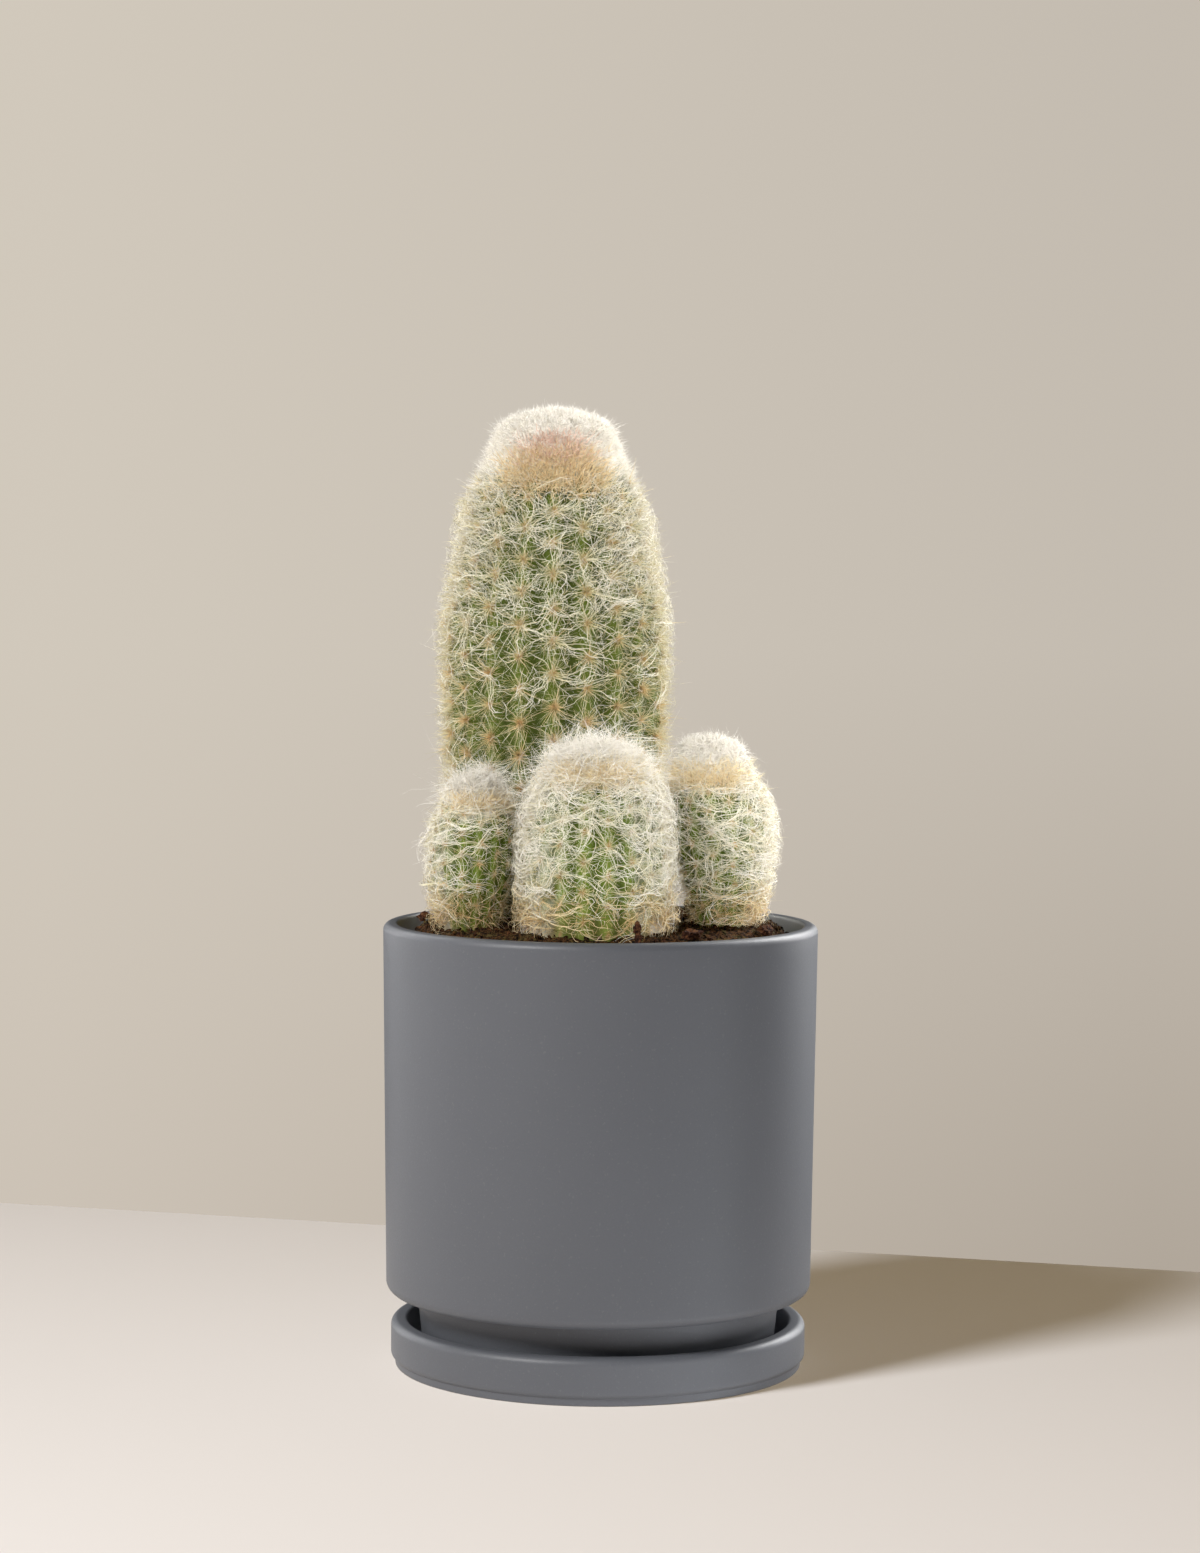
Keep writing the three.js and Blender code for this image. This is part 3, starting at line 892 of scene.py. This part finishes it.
def fuzz(stem, rng, count, band, length, width, rise, tint, steps=3, curl=0.3, root=0.2, sway=0.0,
         facing=0.6, likely=None, pressed=0.0):
    """Fine hairs that stand all over the skin. band gives the distances from the tip at which
    they begin, are thickest, begin to thin out and end; likely is their share by angle. sway
    combs them up the stem, and pressed is how far their curls are kept from standing off it."""
    back = np.linspace(band[0], min(band[3], stem.length - 0.5), 500)
    weight = smoothstep(band[0] - 1e-3, band[1], back) * (1 - smoothstep(band[2], band[3], back))
    total = np.cumsum(weight * stem.radius_at(stem.length - back))
    s = stem.length - np.interp(rng.uniform(0, 1, count), total / total[-1], back)
    phi = rng.uniform(0, 2 * np.pi, count)
    if likely:
        keep = rng.uniform(0, 1, count) < likely(phi)
        phi, s = phi[keep], s[keep]
    out, up, side = stem.axes(phi, s)
    turn = rng.uniform(0, 2 * np.pi, len(s))[:, None]
    tilt = np.radians(rng.normal(*rise, len(s))).clip(0.0, 1.5)[:, None]
    flat = np.cos(turn) * side + np.sin(turn) * up + sway * up
    way = np.cos(tilt) * unit(flat) + np.sin(tilt) * out
    reach = rng.uniform(*length, len(s))[:, None, None]
    u = np.linspace(0, 1, steps)[None, :, None]
    start = stem.place(phi, s, root)[:, None]
    bend = rng.normal(0, curl, (len(s), 1, 3))
    rise_off = np.maximum((bend * out[:, None]).sum(-1, keepdims=True), 0)
    bend = bend - pressed * rise_off * out[:, None]
    points = start + way[:, None] * reach * u + bend * reach * u**2
    if steps > 3:
        twist = rng.normal(0, curl * 0.3, (len(s), 1, 3))
        points = points + twist * reach * np.sin(u * rng.uniform(4, 9, (len(s), 1, 1)))
    taper = np.interp(u[..., 0], [0, 0.6, 1], [1, 0.9, 0.3]) * rng.uniform(0.7, 1.3, (len(s), 1)) * width
    outward = unit(out[:, None] + rng.normal(0, facing, (len(s), 1, 3)))
    return points, taper, outward, weathered(rng, tints(rng, tint, len(s)), s)


STEMS = [
    Stem(
        "tall_stem", x=-14.4, y=24.0, lean=(-0.5, 0), ribs=20, spacing=(3.0, 9.7, 48),
        coat=3.4, cap=1.6, groove=1.5, lump=0.9,
        outline=[(0, 30.2), (0.12, 32.4), (0.34, 34.6), (0.52, 35.2), (0.61, 34.3), (0.7, 31.6),
                 (0.78, 29.5), (0.86, 25.8), (0.935, 19.8), (0.977, 15.2)],
        fleece=(25, 36), woolly_sides=(), seed=101,
    ),
    Stem(
        "front_stem", x=-1.5, y=-33.4, lean=(0.2, 0.8), ribs=18, spacing=(2.6, 8.6, 44),
        coat=3.2, cap=4.8, groove=0.5, lump=1.1,
        outline=[(0, 22.6), (0.2, 22.9), (0.4, 22.9), (0.55, 22.2), (0.68, 21.1), (0.8, 18.9),
                 (0.9, 15.6), (0.965, 10.6)],
        fleece=(6, 12), woolly_sides=(0.0, math.pi), seed=102,
    ),
    Stem(
        "left_stem", x=-38.4, y=-20.6, lean=(2.4, 1.0), ribs=14, spacing=(2.2, 6.2, 26),
        coat=2.9, cap=3.0, groove=0.4, lump=0.8,
        outline=[(0, 10.8), (0.15, 12.2), (0.3, 13.6), (0.55, 14.3), (0.7, 13.3), (0.82, 11.6),
                 (0.92, 8.6), (0.975, 5.0)],
        fleece=(4, 10), woolly_sides=(math.pi,), seed=103,
    ),
    Stem(
        "right_stem", x=36.6, y=-9.0, lean=(-5.0, 0.6), ribs=14, spacing=(2.2, 6.2, 30),
        coat=2.9, cap=2.0, groove=0.4, lump=0.8,
        outline=[(0, 10.8), (0.12, 12.8), (0.26, 14.5), (0.42, 16.5), (0.56, 16.4), (0.66, 15.4),
                 (0.77, 13.0), (0.88, 10.5), (0.96, 8.2)],
        fleece=(8, 15), woolly_sides=(0.0,), seed=104,
    ),
]
TALL, FRONT, LEFT, RIGHT = STEMS


# ---- coats --------------------------------------------------------------------------------
def sideways(none, whole):
    """A share by angle. It goes from 0 to 1 between two places, which are counted from 0 in the
    middle of the front or the back to 1 at either side."""
    return lambda phi: smoothstep(none, whole, np.abs(np.cos(phi)))


def tall_coat():
    """The old stem: stars of spines, wool that thins out downwards, and a pink and gold tip."""
    stem, rng = TALL, np.random.default_rng(TALL.seed + 10)
    areoles = stem.areoles()
    back = stem.length - areoles[1]
    old = chosen(areoles, back > 33)
    upper = stem.length - old[1] < rng.normal(100, 14, len(old[1]))
    high, low = chosen(old, upper), chosen(old, ~upper)
    add_strands(stem, "spines", [
        bristles(stem, rng, old, 44, (4.5, 8.6), (27, 19), 0.15, "cream"),
        bristles(stem, rng, high, 8, (7.0, 12.0), (17, 10), 0.22, "wool", 5, bow=0.3),
        bristles(stem, rng, low, 3, (7.0, 12.0), (17, 10), 0.20, "cream", 5, bow=0.3),
        bristles(stem, rng, low, 6, (6.0, 10.0), (22, 12), 0.20, "cream", 4, bow=0.25),
        bristles(stem, rng, old, 4, (7.0, 11.0), (32, 14), 0.20, "gold"),
        bristles(stem, rng, low, 6, (5.0, 9.0), (36, 16), 0.18, "gold"),
        felt(stem, rng, high, 26, (1.2, 2.8), 0.26),
        felt(stem, rng, low, 52, (1.6, 4.4), 0.28),
    ])
    woolly = chosen(areoles, back > 35)
    back = stem.length - woolly[1]
    thick = gathered(stem, woolly[0], woolly[1], 51) * (1 - 0.5 * smoothstep(75, 115, back))
    high = 1 - 0.9 * smoothstep(65, 110, back)
    add_strands(stem, "wool", [
        wool(stem, rng, woolly, 0.7 * thick, 33, 3, 12, 1.5, 0.40, (2.2, 4.8), 0.16, 3, 0.8, 0.6),
        wool(stem, rng, woolly, (0.3 + 0.5 * thick) * (0.4 + 0.6 * high), 33,
             12, 9, 1.2, 0.60, (1.8, 4.8), 0.16, 1, 0.3, 1.2),
        wool(stem, rng, woolly, high * (0.4 + 0.6 * thick), 32,
             17, 9, 1.3, 0.75, (2.0, 5.4), 0.13, 1, 0.3, 1.0),
    ])
    add_strands(stem, "crown", [
        fuzz(stem, rng, 15000, (0, 1, 20, 31), (1.4, 3.0), 0.20, (22, 14), "snow", 4, 0.22, 0.6,
             facing=0.2),
        fuzz(stem, rng, 3500, (0, 1, 20, 30), (1.4, 2.8), 0.14, (60, 16), "snow", 3, 0.3, 0.4),
        fuzz(stem, rng, 6500, (18, 22, 26, 31), (2.6, 4.4), 0.18, (54, 14), "pink", curl=0.15,
             sway=0.8, facing=0.3, likely=sideways(0.75, 0.15)),
        fuzz(stem, rng, 15000, (14, 19, 46, 90), (2.8, 4.8), 0.17, (54, 14), "snow", curl=0.2,
             sway=0.6, likely=sideways(0.25, 0.80)),
        fuzz(stem, rng, 14000, (23, 26, 34, 42), (2.6, 4.4), 0.18, (52, 14), "gold", curl=0.18,
             sway=0.6, facing=0.3, likely=sideways(0.90, 0.30)),
    ])
    add_strands(stem, "down", [
        fuzz(stem, rng, 13000, (33, 42, *NO_END), (3.6, 6.0), 0.14, (70, 12), "cream", root=0.0,
             curl=0.2, likely=lambda phi: 0.5 + 0.5 * np.abs(np.cos(phi)) ** 2),
        fuzz(stem, rng, 4500, (36, 44, 66, 120), (3.2, 5.6), 0.15, (70, 12), "wool", root=0.0,
             curl=0.25),
    ])


def small_coat(stem, tuft, bands, curls, net, stars, short, long, wisps, plume, gold, fleece,
               combed, stand, reach):
    """A young stem's coat. tuft is the length of its woolly tip. bands, curls, net and stars are
    strands an areole. short, long, wisps and plume are hairs of the tip, gold of the band below
    it, and fleece of the sides that wool gathers on. Where there are two such sides, they have
    wisps too. The tip is combed up, or down if combed is below 0, and stand and reach are the
    slope and the length of its long hairs."""
    rng = np.random.default_rng(stem.seed + 10)
    areoles = stem.areoles()
    phi, s, _ = areoles
    old = chosen(areoles, stem.length - s > tuft * 1.2)
    low = chosen(areoles, stem.length - s > tuft * 1.5)
    add_strands(stem, "spines", [
        bristles(stem, rng, old, 20, (3.8, 6.8), (24, 15), 0.13, "cream"),
        bristles(stem, rng, low, stars, (4.5, 8.0), (12, 9), 0.17, "wool", 4, bow=0.22),
        felt(stem, rng, old, 22, (0.8, 1.9), 0.27),
    ])
    woolly = chosen(areoles, stem.length - s > tuft * (1.35 - 0.7 * stem.flank(phi)))
    phi, s, _ = woolly
    flank, coat = stem.flank(phi), stem.coat
    likely = np.clip(0.5 * gathered(stem, phi, s, stem.seed, 12.0) + 0.7 * flank, 0, 1)
    grown = 1 - 0.75 * (1 - smoothstep(6, 22, s)) * (1 - flank)
    add_strands(stem, "wool", [
        wool(stem, rng, woolly, likely * grown, tuft,
             bands, 12, 1.5, 0.35, (1.8, 1.5 * coat), 0.15, 3, 0.7, 0.35),
        wool(stem, rng, woolly, (0.25 + 0.75 * likely) * grown, tuft,
             curls, 9, 1.1, 0.85, (1.6, 1.5 * coat), 0.14, 1, 0.3, 1.4),
        wool(stem, rng, woolly, (0.55 + 0.45 * likely) * grown, tuft,
             net, 10, 1.2, 0.7, (1.0, 1.4 * coat), 0.11, 1, 0.3, 1.2),
    ])

    def tufts(*shares):
        return [tuft * share for share in shares]

    widest = stem.r.max()
    crown = [
        fuzz(stem, rng, short, (0, 1, *tufts(0.8, 1.2)), (1.6, 3.6), 0.18, (26, 16), "snow",
             4, 0.4, 0.5, combed, facing=0.25, pressed=0.9),
        fuzz(stem, rng, long, (0, 1, *tufts(0.7, 1.1)), (0.5 * reach, reach), 0.14, (stand, 10),
             "snow", 6, 1.0, 0.5, combed, pressed=0.9),
        fuzz(stem, rng, gold, tufts(0.8, 1.05, 1.25, 1.7), (2.6, 4.6), 0.16, (48, 14), "young",
             sway=0.4, facing=0.3, likely=lambda phi: 1 - 0.85 * stem.flank(phi)),
        fuzz(stem, rng, gold // 2, tufts(0.95, 1.1, 1.25, 1.6), (2.6, 4.4), 0.17, (46, 14), "gold",
             sway=0.4, facing=0.3, likely=lambda phi: 0.8 - 0.75 * stem.flank(phi)),
        fuzz(stem, rng, fleece, (*tufts(0.5, 0.9), *NO_END), (3.0, 5.4), 0.14, (40, 16), "snow",
             4, 0.6, 0.0, pressed=0.6, likely=lambda phi: 0.12 + 0.88 * stem.flank(phi)),
        fuzz(stem, rng, int(1.1 * stem.length * widest), (*tufts(0.7, 1.1), *NO_END), (3.0, 5.0),
             0.14, (66, 14), "cream", 3, 0.3, 0.0),
        fuzz(stem, rng, int(32 * widest), (stem.length - 15, stem.length - 6, *NO_END), (2.4, 4.6),
             0.15, (40, 16), "felt", 3, 0.3),
    ]
    if plume:
        crown.append(fuzz(stem, rng, plume, (0, 0.5, 4, 9), (3.0, 6.0), 0.15, (56, 12), "snow",
                          6, 0.7, 0.5))
    if wisps:
        crown.append(fuzz(stem, rng, wisps, (0, 1, *tufts(0.8, 1.3)), (5.0, 9.0), 0.15,
                          (stand * 0.6, 10), "snow", 8, 0.8, 1.2, combed, pressed=0.7))
    if len(stem.woolly_sides) > 1:
        crown.append(fuzz(stem, rng, wisps, tufts(0.4, 0.7, 1.8, 2.6), (5.0, 8.0), 0.12, (40, 14),
                          "snow", 7, 1.0, 0.6, likely=stem.flank, pressed=0.3))
    add_strands(stem, "crown", crown)


# ---- build --------------------------------------------------------------------------------
saucer()
pot()
soil_surface()
soil_crumbs()
bark_pieces()
for stem in STEMS:
    stem.flesh()
tall_coat()
small_coat(
    FRONT, tuft=13.5, bands=8, curls=14, net=15, stars=10, short=2600, long=2800, wisps=1100,
    plume=100, gold=6000, fleece=1800, combed=0.0, stand=22, reach=6.4,
)
small_coat(
    LEFT, tuft=9, bands=3, curls=6, net=5, stars=4, short=1800, long=1500, wisps=160,
    plume=260, gold=1300, fleece=1800, combed=0.3, stand=30, reach=6.0,
)
small_coat(
    RIGHT, tuft=14, bands=7, curls=11, net=17, stars=5, short=5000, long=2200, wisps=0,
    plume=0, gold=3000, fleece=2600, combed=-0.7, stand=12, reach=3.6,
)


# ---- floor, light and camera --------------------------------------------------------------
def stage_material():
    s = Shader("pale_floor")
    cloud = s.noise(s.place(), 2.2, 2.0)
    s.surface(s.mix(cloud, (0.720, 0.715, 0.710), (0.758, 0.753, 0.748)), 0.8, 0.2)
    return s.material


def floor():
    """A pale table top. Its back edge runs behind the pot, a little askew to the camera."""
    back, askew, reach = 0.205, math.radians(-15.6), 3.0
    mesh = bpy.data.meshes.new("floor")
    corners = [(-reach, 0, 0), (reach, 0, 0), (reach, -2 * reach, 0), (-reach, -2 * reach, 0)]
    mesh.from_pydata(corners, [], [(3, 2, 1, 0)])
    mesh.transform(Matrix.Translation((0, back, 0)) @ Matrix.Rotation(askew, 4, "Z"))
    table = add_object("floor", mesh)
    mesh.materials.append(stage_material())


def area_light(name, place, size, power, colour, receivers, blockers=None):
    """A round soft box that faces the middle of the plant and lights only its receivers. When
    blockers are given, nothing else throws a shadow from it."""
    data = bpy.data.lights.new(name, "AREA")
    data.shape, data.size, data.energy, data.color = "DISK", size, power, colour
    lamp = add_object(name, data)
    lamp.location = place
    way = Vector((0, 0, 0.17)) - Vector(place)
    lamp.rotation_euler = way.to_track_quat("-Z", "Y").to_euler()
    lamp.light_linking.receiver_collection = receivers
    lamp.light_linking.blocker_collection = blockers


def lights():
    """One key light for everything, and further lamps for the table alone, for the object and
    for the plant, whose pale hair glows at both edges."""
    pieces = [piece for piece in bpy.context.scene.objects if piece.type == "MESH"]

    def group(name, wanted):
        made = bpy.data.collections.new(name)
        for piece in pieces:
            if wanted(piece):
                made.objects.link(piece)
        return made

    everything = group("everything", lambda piece: True)
    table = group("table", lambda piece: piece.name == "floor")
    whole = group("object", lambda piece: piece.name != "floor")
    ceramics = group("ceramics", lambda piece: piece.active_material is CERAMIC)
    dish = group("dish", lambda piece: piece.name.startswith("saucer"))
    plant = group("plant", lambda piece: piece.active_material in (HAIR, FLESH))
    tall = group("tall", lambda piece: piece.name.startswith("tall_stem_"))
    young = group("young", lambda piece: piece.name.startswith(("front_stem_", "left_stem_")))
    right = group("right", lambda piece: piece.name.startswith("right_stem_"))
    white, warm, cool = (1.0, 1.0, 1.0), (1.0, 0.77, 0.48), (0.85, 0.92, 1.0)
    key = (-0.996, -0.922, 1.15)
    for row in (
        ("key", key, 0.40, 24.5, (1.0, 0.985, 0.965), everything),
        ("table_key", key, 0.40, 8.0, (0.82, 0.83, 1.0), table),
        ("table_fill", (0.0, -0.3, 2.2), 1.50, 17.0, warm, table, table),
        ("rear_left", (-1.05, 0.95, 0.24), 0.46, 3.2, white, whole),
        ("side_left", (-1.4, 0.1, 0.24), 0.46, 2.2, white, whole),
        ("side_right", (1.3, -0.4, 0.5), 0.70, 2.5, white, whole),
        ("rear_right", (1.05, 0.95, 0.30), 0.46, 6.0, white, whole),
        ("high_right", (0.9, 0.9, 0.9), 0.80, 25.5, white, whole),
        ("high_left", (-0.9, 0.9, 0.9), 0.80, 7.0, white, whole),
        ("bounce", (0.15, -0.35, -0.25), 0.50, 0.3, cool, whole, whole),
        ("bounce_right", (0.60, -0.30, -0.25), 0.50, 1.2, cool, ceramics, whole),
        ("saucer_front", (0.8, -1.0, 0.3), 0.46, 2.4, white, dish),
        ("plant_right", (1.4, 0.0, 0.2), 0.46, 14.5, white, plant),
        ("plant_top", (0.0, 0.9, 1.2), 0.80, 3.5, white, plant),
        ("plant_front", (0.9, -1.2, 0.6), 0.46, 3.0, white, plant),
        ("tall_front", (-0.1, -1.1, 1.0), 0.60, 3.6, white, tall),
        ("young_front", (-0.1, -1.1, 0.8), 0.46, 3.8, white, young),
        ("right_front", (0.5, -1.3, 0.15), 0.46, 11.5, white, right),
    ):
        area_light(*row)


def room():
    """The wall is what the camera sees behind the table, with painted light and shade on it: paler on
    the left, towards the key lamp, and darker low on the right, as if the pot's shadow fell there.
    Everything else gets only a little of its light."""
    world = bpy.data.worlds.new("room")
    bpy.context.scene.world = world
    world.use_nodes = True
    world.node_tree.nodes.clear()
    n = Nodes(world.node_tree)
    way = n.node("SeparateXYZ", Vector=n.place("Generated")).outputs

    def share(source, low, high):
        return n.node("MapRange", Value=source, From_Min=low, From_Max=high).outputs["Result"]

    # Painted light and shade: the backdrop is paler to the left and darker low on the right.
    right = share(way["X"], -0.15, 0.15)
    down = share(way["Z"], -0.02, -0.19)
    left_wall = n.mix(down, (0.636, 0.580, 0.500), (0.600, 0.536, 0.462))
    right_wall = n.mix(down, (0.550, 0.500, 0.435), (0.435, 0.382, 0.322))
    wall = n.node("Background", Color=n.mix(right, left_wall, right_wall))
    ambient = n.node("Background", Color=(1.0, 0.90, 0.78), Strength=0.03)
    seen = n.node("LightPath").outputs["Is Camera Ray"]
    both = n.blend(seen, ambient.outputs["Background"], wall.outputs["Background"])
    n.node("OutputWorld", Surface=both)


def camera():
    """It looks level at the plant from the front, tilted a touch down and to one side."""
    data = bpy.data.cameras.new("camera")
    data.lens = 84.15
    data.sensor_width = 36
    data.clip_start, data.clip_end = 0.02, 30
    made = add_object("camera", data)
    made.location = (-0.0005, -1.083, 0.2361)
    tilt_down, roll = 0.055, 0.007
    look = Vector((0, math.cos(tilt_down), -math.sin(tilt_down)))
    turn = look.to_track_quat("-Z", "Y").to_matrix().to_4x4()
    made.rotation_euler = (turn @ Matrix.Rotation(roll, 4, "Z")).to_euler()
    bpy.context.scene.camera = made


floor()
lights()
room()
camera()
bpy.context.scene.view_settings.view_transform = "Standard"
